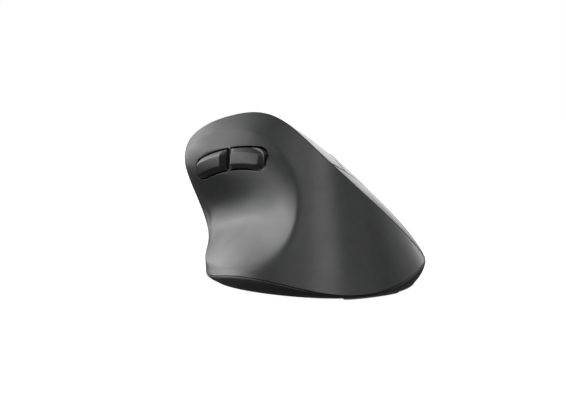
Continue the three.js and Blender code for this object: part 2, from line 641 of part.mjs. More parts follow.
function buildWheel() {
  const half = WHEEL.width / 2;
  const tyre = [
    [WHEEL.rim, -half + 0.3], [WHEEL.r - 1, -half], [WHEEL.r, -half + 1.2],
    [WHEEL.r, half - 1.2], [WHEEL.r - 1, half], [WHEEL.rim, half - 0.3], [WHEEL.rim, -half + 0.3],
  ];
  add('wheel_tyre', sideways(turned(tyre, 32)), RUBBER, upper);
  const rim = WHEEL.rim - 0.3;
  const hub = [[WHEEL.bore, -3], [rim, -3], [rim, 3], [WHEEL.bore, 3], [WHEEL.bore, -3]];
  add('wheel_hub', sideways(turned(hub, 24)), INNER, upper);
  add('wheel_axle', bar(AXLE.r, AXLE.x0, AXLE.x1, 0, WHEEL.z, 12), STEEL, upper);
  buildCradle();

  const body = box(5.4, 9, 13, ENCODER_X, 0, KEY_BOARD.top + 6.8);
  const slot = box(9, 4.2, 5.6, ENCODER_X, 0, WHEEL.z);
  add('wheel_encoder', geometryOf(cut(solid(body), slot)), CHIP, upper);
  add('wheel_spring', spring(KEY_BOARD.top + SOLDER, CRADLE.z0 - SPRING.slack), STEEL, upper);
}

// Frame around the wheel that slides on two guide posts, with a cheek on each side for the axle.
function buildCradle() {
  const outer = slab(CRADLE.w, CRADLE.l, CRADLE.z0, CRADLE.z1, 0, 0);
  const cheeks = slab(CRADLE.w, 8, CRADLE.z0 + 1, WHEEL.z + 2.6, 0, 0);
  const opening = slab(CRADLE.w - 2, CRADLE.l - 6, -FAR, FAR, 0, 0);
  const tab = slab(4, 2.4, WHEEL_SWITCH.plunger + SOLDER, CRADLE.z0 + 1, 0, WHEEL_SWITCH.y);
  const axleHole = bar(AXLE.r + PIN.play, -9, 9, 0, WHEEL.z, 12);
  const guides = GUIDES.map((place) => post(1.25, -FAR, 0, ...place, 10));
  const cradle = cut(join(outer, cheeks, tab), opening, axleHole, ...guides);
  add('wheel_cradle', geometryOf(cradle), INNER, upper);
}

// Round-wire coil spring between two levels.
function spring(z0, z1) {
  const { d, wire, y, turns } = SPRING;
  class Coil extends THREE.Curve {
    getPoint(t) {
      const a = 2 * Math.PI * turns * t;
      const rise = THREE.MathUtils.lerp(z0 + wire / 2, z1 - wire / 2, t);
      return new THREE.Vector3((d / 2) * Math.cos(a), y + (d / 2) * Math.sin(a), rise);
    }
  }
  const ring = range(0, 2 * Math.PI, 6).slice(0, 6);
  const section = new THREE.Shape(ring.map((a) => (
    new THREE.Vector2((wire / 2) * Math.cos(a), (wire / 2) * Math.sin(a))
  )));
  return new THREE.ExtrudeGeometry(section, { steps: turns * 9, extrudePath: new Coil() });
}

// ---------------------------------------------------------------- key switches and their board
function buildSwitches() {
  const base = KEY_BOARD.top + SOLDER;
  const top = base + SWITCH.h;
  [['left', SWITCH.left], ['right', SWITCH.right]].forEach(([side, x]) => {
    const body = slab(SWITCH.w, SWITCH.l, base, top, x, SWITCH.y);
    const well = slab(3.4, 2, top - 1.8, 0, x, SWITCH.y);
    add(`${side}_switch`, geometryOf(cut(solid(body), well)), CHIP, upper);
    add(`${side}_plunger`, slab(2.8, 1.4, top - 1, SWITCH.plunger, x, SWITCH.y), RED, upper);
  });
  const tact = slab(TACT, TACT, base, WHEEL_SWITCH.top, 0, WHEEL_SWITCH.y);
  const well = post(1.8, WHEEL_SWITCH.top - 1.2, 0, 0, WHEEL_SWITCH.y, 12);
  add('wheel_switch', geometryOf(cut(solid(tact), well)), CHIP, upper);
  const button = post(1.4, WHEEL_SWITCH.top - 0.5, WHEEL_SWITCH.plunger, 0, WHEEL_SWITCH.y, 12);
  add('wheel_plunger', button, RUBBER, upper);

  add('dpi_button', dpiButton(), KEYS, upper);
  add('dpi_switch', slab(TACT, TACT, base, DPI.stem - 0.9, 0, DPI.y), CHIP, upper);
  add('key_board', keyBoard(), BOARD, upper);
  add('key_hinge_pin', bar(PIN.r, PIN.x0, PIN.x1, PIN.y, PIN.z, 12), STEEL, upper);
}

// Round button whose face follows the skin of the spine.
function dpiButton() {
  const sides = 24;
  const spots = range(0, 2 * Math.PI, sides).slice(0, sides).map((a) => (
    [DPI.r * Math.cos(a), DPI.y + DPI.r * Math.sin(a)]
  ));
  const face = ([x, y]) => [x, y, skin(x, y) + DPI.proud];
  const positions = [...spots.flatMap(face), ...spots.flatMap(([x, y]) => [x, y, DPI.stem])];
  positions.push(...face([0, DPI.y]), 0, DPI.y, DPI.stem);
  const index = spots.flatMap((_, k) => {
    const next = (k + 1) % sides;
    const wall = [k, k + sides, next, next, k + sides, next + sides];
    return [...wall, k, next, 2 * sides, k + sides, 2 * sides + 1, next + sides];
  });
  return indexed(positions, index);
}

function keyBoard() {
  const { top, thick, w, l, x, y } = KEY_BOARD;
  const board = slab(w, l, top - thick, top, x, y);
  const holes = [...GUIDES, ...BOARD_SCREWS].map((place) => post(1.4, -FAR, 0, ...place, 10));
  const wheelWell = slab(9.4, 14, -FAR, 0, 0, 0);
  return geometryOf(cut(solid(board), wheelWell, ...holes));
}

// Plate, legs, guide posts and hinge pedestal that carry the upper works.
function buildFrame() {
  const level = [PLATE.z0, PLATE.z1];
  const foot = PLATE.z1 - 0.5;
  const standing = [
    slab(25, 42.5, ...level, 5.5, -0.75),
    slab(20, 21, ...level, 2, -31.5),
    slab(12, 6, ...level, 16.5, -40.5),
    slab(7, 7, foot, PIN.z + 2.6, 0, PIN.y),
    ...GUIDES.map((place) => post(0.95, foot, CRADLE.z1 - 0.4, ...place, 10)),
    ...BOARD_SCREWS.map((place) => post(2, foot, KEY_BOARD.top - KEY_BOARD.thick - SOLDER, ...place, 10)),
    ...BOARD_SCREWS.map(([x, y]) => slab(6, 5, ...level, x + (x < 0 ? 1.5 : -1), y)),
  ].map(tilted);
  const legs = LEGS.map(([x, y, lower, head]) => post(2.3, lower, head, x, y, 12));
  const openings = [
    bar(PIN.r + PIN.play, -5, 5, PIN.y, PIN.z, 12),
    slab(12, 8, -FAR, 0, CABLE.x, CABLE.y),
    ...BOARD_SCREWS.map((place) => post(1.25, PLATE.z0 - 2, KEY_BOARD.top + 2, ...place, 10)),
  ].map(tilted);
  const pilots = FRAME_SCREWS.map((place) => post(PILOT_R, FLOOR_Z - 1, FLOOR_Z + 8, ...place, 10));
  add('inner_frame', geometryOf(cut(join(...standing, ...legs), ...openings, ...pilots)), INNER);
  BOARD_SCREWS.forEach(([x, y], i) => {
    const mesh = add(`key_board_screw_${i + 1}`, screw(1.9, 0.7, 4.2, 1.1), STEEL, upper);
    mesh.position.set(x, y, KEY_BOARD.top + SOLDER);
  });
}

// Pan-head screw with its shank pointing down -Z and the head standing on z = 0.
function screw(shank, head, length, headRadius) {
  return turned([
    [0, -length], [shank / 2 - 0.2, -length], [shank / 2, -length + 0.6], [shank / 2, 0],
    [headRadius + 0.8, 0], [headRadius + 0.8, head * 0.6], [headRadius, head], [0, head],
  ], 12);
}

// ---------------------------------------------------------------- thumb switches
function buildThumb() {
  [['back', BACK_BUTTON], ['forward', FORWARD_BUTTON]].forEach(([side, button]) => {
    const y = (button.y0 + button.y1) / 2;
    add(`${side}_switch`, box(1.8, TACT, TACT, BUTTON_BACK + 1.7, y, bandMiddle(y)), CHIP);
  });
  const y = (BACK_BUTTON.y0 + FORWARD_BUTTON.y1) / 2;
  add('thumb_board', box(1, 34, 7, BUTTON_BACK + 3.4, y, 49), BOARD);
}

// ---------------------------------------------------------------- main board and what it carries
function mainBoard() {
  const shape = new THREE.Shape(BOARD_OUTLINE.map((p) => new THREE.Vector2(...p)));
  [...BOARD_POSTS.map((p) => [...p, 1.3]), [SENSOR.x, SENSOR.y, 3]].forEach(([x, y, r]) => {
    const hole = new THREE.Path();
    hole.absarc(x, y, r, 0, Math.PI * 2, true);
    shape.holes.push(hole);
  });
  const plate = { depth: MAIN_BOARD.thick, bevelEnabled: false, curveSegments: 5 };
  return new THREE.ExtrudeGeometry(shape, plate).translate(0, 0, MAIN_BOARD.z);
}

function buildMain() {
  const on = MAIN_BOARD.z + MAIN_BOARD.thick + SOLDER;
  const below = MAIN_BOARD.z - SOLDER;
  add('main_board', mainBoard(), BOARD);
  add('sensor_chip', slab(10, 11, on, on + 2.7, SENSOR.x, SENSOR.y), CHIP);
  add('controller_chip', slab(8, 8, on, on + 1.2, 22, 18), CHIP);
  add('crystal', slab(3.6, 9, on, on + 3.3, 12, 22), STEEL);
  const lens = join(
    slab(12, 15, FLOOR_Z + SOLDER, below - 0.1, SENSOR.x, SENSOR.y),
    post(4.2, 1.3, FLOOR_Z + 1, SENSOR.x, SENSOR.y, 20),
  );
  const bore = post(1.6, 0, 2.6, SENSOR.x, SENSOR.y, 12);
  add('sensor_lens', geometryOf(cut(lens, bore)), CLEAR);
  add('power_switch_body', slab(6.4, 12, FLOOR_Z + SOLDER, below, POWER.x, POWER.y), CHIP);
  add('power_switch_knob', slab(4.2, 6, 1, FLOOR_Z - 0.1, POWER.x, POWER.y - POWER.travel / 2), KEYS);
  BOARD_POSTS.forEach(([x, y], i) => {
    const mesh = add(`board_screw_${i + 1}`, screw(1.5, 1.1, 3.4, 1.3), STEEL);
    mesh.position.set(x, y, on);
  });
  [...SHELL_SCREWS, ...FRAME_SCREWS].forEach(([x, y], i) => {
    const mesh = add(`base_screw_${i + 1}`, screw(1.8, 1, 7, 1.1), STEEL);
    mesh.rotation.x = Math.PI;
    mesh.position.set(x, y, HULL_Z + SCREW_HEAD.h - SOLDER);
  });
}

// ---------------------------------------------------------------- power: cell, contacts and receiver
function buildPower() {
  const rear = BAY.y - BAY.l / 2;
  const front = BAY.y + BAY.l / 2;
  const cell = turned([
    [0, 0], [CELL.r, 0], [CELL.r, CELL.l - 1.4], [2.8, CELL.l - 1.2], [2.8, CELL.l], [0, CELL.l],
  ], 20);
  add('battery_cell', cell.rotateX(-Math.PI / 2).translate(BAY.x, BAY.y - CELL.l / 2, CELL.z), LABEL);
  add('contact_plate', box(10, 0.5, 10, BAY.x, front - 0.6, CELL.z), STEEL);
  const coil = turned([[0, 0], [4.5, 0], [4.5, 0.6], [2.6, 1.5], [2.2, 2.3], [0, 2.3]], 12);
  add('contact_spring', coil.rotateX(-Math.PI / 2).translate(BAY.x, rear + 0.4, CELL.z), STEEL);
  const end = POCKET.y - POCKET.l / 2 + 0.6;
  add('receiver_shell', box(6, 6.4, 11.6, POCKET.x, end + 3.2, 8.8), KEYS);
  add('receiver_plug', box(4.5, 12, 11, POCKET.x, end + 12.7, 8.8), STEEL);
}

// ---------------------------------------------------------------- feet and cable
function buildFeet() {
  const pads = [['rear', 0, -40, 15, 4], ['left', -28, 8, 3.4, 13], ['right', 22, 36, 11, 4]];
  pads.forEach(([place, x, y, halfWidth, halfLength]) => {
    const pad = new THREE.CylinderGeometry(1, 1, FOOT_THICK, 24).rotateX(Math.PI / 2);
    pad.scale(halfWidth, halfLength, 1).translate(x, y, FOOT_THICK / 2);
    add(`glide_foot_${place}`, pad, GLIDE);
  });
}

function buildCable() {
  const plug = { w: 9, l: 4, h: 2.4 };
  const lower = MAIN_BOARD.z + MAIN_BOARD.thick + SOLDER;
  const start = new THREE.Vector3(5.2, 15, lower + plug.h + 0.4);
  const under = KEY_BOARD.top - KEY_BOARD.thick - SOLDER;
  const hung = (z) => new THREE.Vector3(CABLE.x, CABLE.y, z).applyMatrix4(TO_BODY);
  add('main_connector', slab(plug.w, plug.l, lower, lower + plug.h, start.x, start.y), CLEAR);
  add('key_connector', slab(plug.w, plug.l, under - 1.8, under, CABLE.x, CABLE.y), CLEAR, upper);
  const lift = start.clone().add(new THREE.Vector3(0, 0, 3));
  const path = new THREE.CatmullRomCurve3([start, lift, hung(PLATE.z0 - 1), hung(under - 2.2)]);
  const halfThick = CABLE.thick / 2;
  const section = new THREE.Shape([[-1, -1], [1, -1], [1, 1], [-1, 1]].map(([a, b]) => (
    new THREE.Vector2(a * halfThick, (b * CABLE.w) / 2)
  )));
  add('ribbon_cable', new THREE.ExtrudeGeometry(section, { steps: 10, extrudePath: path }), LABEL);
}

buildPanel();
buildSide();
buildHull();
buildWheel();
buildSwitches();
buildFrame();
buildThumb();
buildMain();
buildPower();
buildFeet();
buildCable();

export default root;
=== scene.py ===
"""Vertical computer mouse with a thumb scoop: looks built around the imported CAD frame.

Shapes are worked out in millimetres in the design frame of the part; `finish_piece` turns them into
metres in the part frame.
"""

import json
import math

import bmesh
import bpy
import numpy as np
from mathutils import Matrix, Vector


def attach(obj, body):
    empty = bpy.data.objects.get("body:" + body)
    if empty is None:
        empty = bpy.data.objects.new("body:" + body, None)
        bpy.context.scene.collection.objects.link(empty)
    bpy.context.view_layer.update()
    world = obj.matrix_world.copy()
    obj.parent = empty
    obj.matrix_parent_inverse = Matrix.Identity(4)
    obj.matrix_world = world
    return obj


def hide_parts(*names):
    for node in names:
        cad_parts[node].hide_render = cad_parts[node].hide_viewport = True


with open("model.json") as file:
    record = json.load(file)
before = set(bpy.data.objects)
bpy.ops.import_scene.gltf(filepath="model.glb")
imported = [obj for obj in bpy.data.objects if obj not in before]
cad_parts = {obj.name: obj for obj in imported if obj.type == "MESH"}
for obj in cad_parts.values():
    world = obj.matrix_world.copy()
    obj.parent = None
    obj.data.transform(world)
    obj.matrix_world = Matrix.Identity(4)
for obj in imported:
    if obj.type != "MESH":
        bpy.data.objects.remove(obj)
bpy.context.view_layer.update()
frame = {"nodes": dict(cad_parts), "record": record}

# ------------------------------------------------------------------ dimensions shared with the CAD
ORIGIN = np.array([2.6, 5.2, 0.0])
WALL = 2.0
GAP = 0.35
SEAM = 0.5
UNDERCUT = 1.2
HULL_Z = 0.8
FLOOR_Z = 3.2
FOOT_SCALE = 0.9
STATIONS = [  # wall foot, ridge, rail, bulge of the wall, rise of the panel
    ((36.8, -29, 9.8), (36.8, -29, 9.8), (36.8, -29, 9.8), (0, 0, 0), 0),
    ((28.5, -38, 10.2), (29.5, -33, 15), (40.5, -23, 9.5), (0, 0, 0), 0.1),
    ((14, -48, 6.7), (16, -35.5, 25.5), (42.5, -15, 8.5), (0, 0, 0), 0.08),
    ((-6, -51, 2.4), (1.5, -31.5, 39), (43.5, -8, 7.5), (0, 0, 0), 0),
    ((-23, -43, 2.4), (-8.5, -17, 54), (43.5, -3, 7), (0, 0, 0), -0.09),
    ((-34, -25, 6.5), (-11, 1, 66), (43.5, 3, 7), (0, 0, 1), -0.16),
    ((-39, -4, 7.4), (-13, 17, 69.5), (43, 9, 7), (0, 2, 4), -0.2),
    ((-38, 14, 3.9), (-17, 33, 67), (42, 15, 7), (0, 4, 6), -0.2),
    ((-30.7, 31, 3.5), (-22.3, 47, 62), (41, 20, 7), (0, 5, 9), -0.2),
    ((-18.5, 42.5, 5), (-25.5, 58, 51), (39, 25, 7), (0, 3, 6), -0.2),
    ((-5, 51, 4.5), (-12, 61, 36), (37.5, 29, 6.5), (0, 0, 0), -0.15),
    ((14, 53, 4.5), (12, 57, 22), (36, 33, 6.5), (0, 0, 0), -0.1),
    ((28, 46, 5), (26, 49, 12), (35, 36, 6.5), (0, 0, 0), 0),
    ((34, 38, 6), (34, 38, 6), (34, 38, 6), (0, 0, 0), 0),
]
PANEL_LEAVE, PANEL_DROP, PANEL_TUCK = 0.3, 0.5, 0.02
SCOOP_Y, SCOOP_Z, SCOOP_RY, SCOOP_RZ = 22.0, 34.5, 40.0, 26.5
SCOOP_SHALLOW, SCOOP_DEEP, DEEP_TO, SHALLOW_FROM = 1.5, 14.25, -0.6, 0.9
SCOOP_REAR, SCOOP_SLANT, SCOOP_BEND = 0.95, 0.49, 0.3
SCOOP_CRISP, SCOOP_SOFT = 0.014, 0.08
BAND_HALF, BAND_TOP, BAND_PEAK, BAND_FALL = 4.2, 50.4, 10.0, 0.0062
BAND_PROUD, BAND_ROUND, BAND_LEDGE = 1.6, 5.0, 0.45
BUTTONS = {"back": (2.6, 22.2), "forward": (24.6, 43.6)}
BUTTON_BACK = -20.0
TILT_X, TILT_Y, TILT_SINK = 7.0, 24.0, 4.0
ROLL, YAW = math.radians(42), math.radians(6)
SPLIT_Y, SPINE_HALF, KEY_RIGHT, KEY_GAP = -44.0, 5.2, 33.0, 0.6
WHEEL_R, WHEEL_WIDTH, WHEEL_Z = 11.5, 7.0, -5.6
SLOT_SIDE, SLOT_Y0, SLOT_Y1 = 0.8, -9.4, 12.8
DPI_Y, DPI_R, DPI_PROUD, DPI_STEM = -26.0, 2.6, 0.15, -12.4
HULL_CENTRE = np.array([2.0, 2.0, 0.0])
BAY, BAY_W, BAY_L, BAY_WALL, BAY_TOP = (-10.5, 3.0), 16.0, 56.0, 1.2, 17.6
POCKET, POCKET_W, POCKET_L, POCKET_TOP = (1.6, -14.0), 7.0, 20.0, 15.0
BOARD_Z, BOARD_POSTS = 7.0, ((5, 31), (27, 28), (15, -10))
SCREWS, HEAD_R, HEAD_H = ((35, 4), (-29, -12), (16, 42.5), (2.5, 37), (9.2, -17)), 2.1, 1.3
BOARD_POST_R, BOARD_HOLE_R, BOARD_HOLE_DEPTH = 2.4, 0.95, 3.2
SHANK_R = 1.2
SENSOR_AT, SENSOR_R = (14, 6), 4.6
KNOB_AT, KNOB_HALF_X, KNOB_HALF_Y = (24, -8), 2.5, 5
DOOR_Z, DOOR_EXTRA, DOOR_PLATE, DOOR_LIP, DOOR_THICK, DOOR_SIDE = 0.7, 1.2, 0.7, 0.5, 1.3, 0.8
FAR = 90
END = 0.004

# ------------------------------------------------------------------ dimensions of the finer pieces only
SHRINK = 0.9988  # keeps the finer surface inside the box of the coarser CAD
SEAM_FRONT = 1.1  # how much wider the joint in front of the keys is
SEAM_PALM = 0.45  # share of the joint that is left beside the palm cover
HULL_JOINT = 0.18
LIP = 0.3  # rounding of cut edges
CHANNEL_CORNER, KEY_CLEARANCE = 0.25, 0.2
CUT_ABOVE, CUT_DEPTH = 4.0, 6.0
WINDOW_LIP, WINDOW_GROW, WEB_SINK = 0.08, 0.25, 0.8
BUTTON_INSET, BUTTON_END = 0.1, 2.0
HEAD_FLARE, SENSOR_FLARE, KNOB_ROUND = 0.25, 0.3, 0.4
RIM_R, RIB_COUNT, RIB_HEIGHT = 8.8, 15, 0.25
DPI_ROUND, DPI_DISH, DISH_R = 0.4, 0.22, 2.1
FEET = (  # place, centre, half width and half length
    ("rear", 0, -39.2, 13.5, 3.2),
    ("left", -27.2, 8, 3, 11.5),
    ("right", 21.6, 35, 10, 3.4),
)


# ------------------------------------------------------------------ body surface
def smooth(a, b, x):
    t = np.clip((x - a) / (b - a), 0, 1)
    return t * t * (3 - 2 * t)


def unit(v):
    return v / np.maximum(np.linalg.norm(v, axis=-1, keepdims=True), 1e-12)


def spline_basis(u, count):
    """Weights of the clamped uniform cubic B-spline."""
    knots = np.concatenate([[0, 0, 0], np.linspace(0, 1, count - 2), [1, 1, 1]])
    u = np.clip(u, 0, 1 - 1e-9)[:, None]
    weights = ((u >= knots[:-1]) & (u < knots[1:])).astype(float)
    for degree in (1, 2, 3):
        width = knots[degree:] - knots[:-degree]
        share = np.where(width > 0, (u - knots[:-degree]) / np.where(width > 0, width, 1), 0)
        fall = np.where(width[1:] > 0, 1 - share[:, 1:], 0)
        weights = share[:, :-1] * weights[:, :-1] + fall * weights[:, 1:]
    return weights


def bernstein(v, degree):
    return np.stack(
        [math.comb(degree, i) * v**i * (1 - v) ** (degree - i) for i in range(degree + 1)], -1
    )


def wall_net():
    feet = np.array([s[0] for s in STATIONS], float)
    net = []
    for i, (foot, ridge, _, bulge, _) in enumerate(STATIONS):
        run = feet[min(i + 1, len(feet) - 1)] - feet[max(i - 1, 0)]
        out = unit(np.array([run[1], -run[0], 0.0]))
        if out @ feet[i] < 0:
            out = -out
        foot, ridge = np.array(foot, float), np.array(ridge, float)
        middle = [foot + (ridge - foot) * k / 4 + out * bulge[k - 1] for k in (1, 2, 3)]
        net.append([foot, *middle, ridge])
    return np.array(net)


def panel_net():
    net = []
    for _, ridge, rail, _, rise in STATIONS:
        ridge, rail = np.array(ridge, float), np.array(rail, float)
        level = (rail - ridge) * [1, 1, 0]
        leave = ridge + level * PANEL_LEAVE + [0, 0, rise * np.linalg.norm(level)]
        arrive = rail - level * PANEL_TUCK + [0, 0, PANEL_DROP * (ridge[2] - rail[2])]
        net.append([ridge, leave, arrive, rail])
    return np.array(net)


WALL_NET, PANEL_NET = wall_net(), panel_net()


def net_point(net, u, v):
    u, v = np.broadcast_arrays(np.asarray(u, float), np.asarray(v, float))
    across = bernstein(v.ravel(), net.shape[1] - 1)
    points = np.einsum("ni,nj,ijk->nk", spline_basis(u.ravel(), len(net)), across, net)
    return points.reshape(*u.shape, 3)


def scoop_field(y, z):
    """Positive inside the outline of the thumb scoop, with the softness of its edge there."""
    p = (y - SCOOP_Y) / SCOOP_RY
    q = (z - SCOOP_Z) / SCOOP_RZ
    outline = np.where(p < 0, SCOOP_REAR + SCOOP_SLANT * q - SCOOP_BEND * q * q, 1)
    return 1 - outline * p * p - q * q, SCOOP_CRISP + SCOOP_SOFT * smooth(-0.45, -1, p), q


def wall(u, v):
    point = net_point(WALL_NET, u, v)
    inside, soft, q = scoop_field(point[..., 1], point[..., 2])
    depth = SCOOP_DEEP + (SCOOP_SHALLOW - SCOOP_DEEP) * smooth(DEEP_TO, SHALLOW_FROM, q)
    depth = depth * (1 - smooth(0.7, 0.8, u)) * smooth(0.2, 0.32, u)
    shape = np.where(inside > soft, inside, np.where(inside < -soft, 0, (inside + soft) ** 2 / (4 * soft)))
    point[..., 0] += depth * shape
    return point


def panel(u, v):
    return net_point(PANEL_NET, u, v)


def outward(surface, u, v):
    step = 2e-3
    u = np.clip(u, 0.012, 0.988)
    v = np.clip(v, 0.004, 0.996)
    along = surface(u + step, v) - surface(u - step, v)
    up = surface(u, v + step) - surface(u, v - step)
    return unit(np.cross(up, along))


def taper(u):
    return (WALL * np.minimum(1, 0.2 + np.minimum(u, 1 - u) / 0.07))[..., None]


def ridge_inward(u):
    a = outward(wall, u, np.full_like(u, 0.985))
    middle = unit(a + outward(panel, u, np.full_like(u, 0.015)))
    return middle * -taper(u) / np.maximum(0.55, (middle * a).sum(-1, keepdims=True))


def foot_inward(surface, u, v):
    normal = outward(surface, u, np.full_like(u, v))
    level = unit(normal * [1, 1, 0])
    return level * -taper(u) / np.maximum(0.6, (level * normal).sum(-1, keepdims=True))


def mix(a, b, t):
    return a + (b - a) * t[..., None]


def wall_inward(u, v):
    step = mix(outward(wall, u, v) * -taper(u), ridge_inward(u), smooth(0.86, 1, v))
    return mix(step, foot_inward(wall, u, 0.02), 1 - smooth(0, 0.12, v))


def panel_inward(u, v):
    step = mix(outward(panel, u, v) * -taper(u), ridge_inward(u), UNDERCUT * (1 - smooth(0.06, 0.2, v)))
    return mix(step, foot_inward(panel, u, 0.98), smooth(0.9, 1, v))


def locate(surface, flat, wanted, start):
    """(u, v) at which two coordinates of the surface are the wanted ones, by Newton steps."""
    u, v = start[..., 0].copy(), start[..., 1].copy()
    h = 1e-4
    for _ in range(14):
        here = flat(surface(u, v))
        du = (flat(surface(u + h, v)) - here) / h
        dv = (flat(surface(u, v + h)) - here) / h
        miss = wanted - here
        det = du[..., 0] * dv[..., 1] - du[..., 1] * dv[..., 0]
        det = np.where(abs(det) < 1e-6, 1e-6, det)
        du_step = (miss[..., 0] * dv[..., 1] - miss[..., 1] * dv[..., 0]) / det
        dv_step = (du[..., 0] * miss[..., 1] - du[..., 1] * miss[..., 0]) / det
        u = np.clip(u + np.clip(du_step, -0.1, 0.1), 0.005, 0.995)
        v = np.clip(v + np.clip(dv_step, -0.2, 0.2), 0, 1)
    return u, v


# ------------------------------------------------------------------ tilted plane of keys and wheel
def tilt_frame():
    forward = np.array([-math.sin(YAW), math.cos(YAW), 0])
    level = np.array([math.cos(YAW), math.sin(YAW), 0])
    up = np.array([0, 0, 1])
    right = level * math.cos(ROLL) - up * math.sin(ROLL)
    out = level * math.sin(ROLL) + up * math.cos(ROLL)
    at = np.array([TILT_X, TILT_Y])
    u, v = locate(panel, lambda p: p[..., :2], at[None], np.array([[0.5, 0.36]]))
    height = panel(u, v)[0, 2] - TILT_SINK
    return np.array([right, forward, out]), np.array([TILT_X, TILT_Y, height])


AXES, TILT_ORIGIN = tilt_frame()


def to_tilt(p):
    return (p - TILT_ORIGIN) @ AXES.T


def from_tilt(p):
    return np.asarray(p, float) @ AXES + TILT_ORIGIN


def skin(x, y):
    """Height of the panel over places on the tilted plane."""
    wanted = np.stack([x, y], -1)
    start = np.stack([np.clip(0.5 + y * 0.006, 0.02, 0.98), np.clip(0.36 + x * 0.012, 0.02, 0.98)], -1)
    u, v = locate(panel, lambda p: to_tilt(p)[..., :2], wanted, start)
    return to_tilt(panel(u, v))[..., 2]


def wall_x(y, z):
    start = np.stack([0.52 + (y - 26) * 0.006, z / 68], -1)
    u, v = locate(wall, lambda p: p[..., 1:], np.stack([y, z], -1), start)
    return wall(u, v)[..., 0]


# ------------------------------------------------------------------ mesh helpers
def new_mesh(name, points, faces):
    mesh = bpy.data.meshes.new(name)
    mesh.from_pydata(np.asarray(points).reshape(-1, 3).tolist(), [], faces)
    obj = bpy.data.objects.new(name, mesh)
    bpy.context.scene.collection.objects.link(obj)
    return obj


def ring_faces(rings, count, closed=True):
    """Quads between successive rings of `count` points."""
    faces = []
    for r in range(rings - 1):
        a, b = r * count, (r + 1) * count
        for k in range(count if closed else count - 1):
            n = (k + 1) % count
            faces.append((a + k, a + n, b + n, b + k))
    return faces


def capped_rings(name, rings):
    """Closed solid through rings of equal length; the first and last ring are filled."""
    count, total = len(rings[0]), len(rings)
    faces = ring_faces(total, count)
    faces.append(tuple(reversed(range(count))))
    faces.append(tuple(range((total - 1) * count, total * count)))
    obj = new_mesh(name, np.concatenate(rings), faces)
    face_outward(obj)
    return obj


def face_outward(obj):
    bm = bmesh.new()
    bm.from_mesh(obj.data)
    bmesh.ops.recalc_face_normals(bm, faces=bm.faces)
    bm.to_mesh(obj.data)
    bm.free()


def boolean(obj, tool, operation="DIFFERENCE"):
    modifier = obj.modifiers.new("boolean", "BOOLEAN")
    modifier.solver = "MANIFOLD"
    modifier.operation = operation
    modifier.object = tool
    shown = obj.evaluated_get(bpy.context.evaluated_depsgraph_get())
    mesh = bpy.data.meshes.new_from_object(shown)
    obj.modifiers.clear()
    obj.data = mesh
    bpy.data.objects.remove(tool)


def box_solid(x0, x1, y0, y1, z0, z1, round_=0.0):
    bm = bmesh.new()
    bmesh.ops.create_cube(bm, size=1)
    for v in bm.verts:
        v.co = Vector(
            (
                (x0 + x1) / 2 + v.co.x * (x1 - x0),
                (y0 + y1) / 2 + v.co.y * (y1 - y0),
                (z0 + z1) / 2 + v.co.z * (z1 - z0),
            )
        )
    if round_:
        bmesh.ops.bevel(bm, geom=bm.edges[:], offset=round_, segments=3, affect="EDGES", profile=0.5)
    obj = new_mesh("block", [], [])
    bm.to_mesh(obj.data)
    bm.free()
    return obj


def lathe(profile, count, ripple=None):
    """Rings about +Z through (radius, height) points; ripple(angle, k) adds to the radius."""
    rings = []
    angles = np.linspace(0, 2 * math.pi, count, endpoint=False)
    for k, (r, z) in enumerate(profile):
        radius = r + (ripple(angles, k) if ripple else 0)
        rings.append(np.stack([radius * np.cos(angles), radius * np.sin(angles), np.full(count, z)], -1))
    return rings


def slab(width, length, z0, z1, x, y):
    return box_solid(x - width / 2, x + width / 2, y - length / 2, y + length / 2, z0, z1)


def post(radius, z0, z1, x, y, flare=0.0):
    """Upright cylinder; the flare widens its lower end as a chamfer at the bottom of the hull."""
    profile = [(radius, z1), (radius, z0)]
    if flare:
        profile = [(radius, z1), (radius, HULL_Z + flare), (radius + flare, HULL_Z), (radius + flare, z0)]
    return capped_rings("post", [ring + [x, y, 0] for ring in lathe(profile, 40)])


def islands(obj):
    """Splits the mesh into its loose parts, one new object each."""
    bm = bmesh.new()
    bm.from_mesh(obj.data)
    bm.verts.ensure_lookup_table()
    seen, parts = set(), []
    for vert in bm.verts:
        if vert.index in seen:
            continue
        stack, group = [vert], []
        seen.add(vert.index)
        while stack:
            v = stack.pop()
            group.append(v)
            for e in v.link_edges:
                w = e.other_vert(v)
                if w.index not in seen:
                    seen.add(w.index)
                    stack.append(w)
        order = {v.index: i for i, v in enumerate(group)}
        faces = {f for v in group for f in v.link_faces}
        loops = [tuple(order[v.index] for v in f.verts) for f in sorted(faces, key=lambda f: f.index)]
        parts.append(new_mesh("part", [v.co[:] for v in group], loops))
    bm.free()
    bpy.data.objects.remove(obj)
    return parts


def finish_piece(obj, name, material, body, node, sharp=38):
    """Names the piece, moves it to metres in the part frame, shades it and ties it to its body."""
    obj.name = name
    obj.data.name = name
    obj.data.transform(Matrix.Translation(Vector(-ORIGIN)))
    obj.data.transform(Matrix.Scale(0.001 * SHRINK, 4))
    bm = bmesh.new()
    bm.from_mesh(obj.data)
    bmesh.ops.remove_doubles(bm, verts=bm.verts, dist=2e-7)
    bmesh.ops.dissolve_degenerate(bm, edges=bm.edges, dist=1e-7)
    limit = math.radians(sharp)
    for face in bm.faces:
        face.smooth = True
    for edge in bm.edges:
        edge.smooth = len(edge.link_faces) == 2 and edge.calc_face_angle(0) < limit
    bm.to_mesh(obj.data)
    bm.free()
    obj.data.materials.clear()
    obj.data.materials.append(material)
    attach(obj, body)
    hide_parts(node)
    return obj


# ------------------------------------------------------------------ shells of the body
def edge_share(surface, u, v0, v1, distance):
    length = np.linalg.norm(surface(u, np.full_like(u, v0)) - surface(u, np.full_like(u, v1)), axis=-1)
    return np.minimum(0.3, distance / np.maximum(length / abs(v1 - v0), 1))


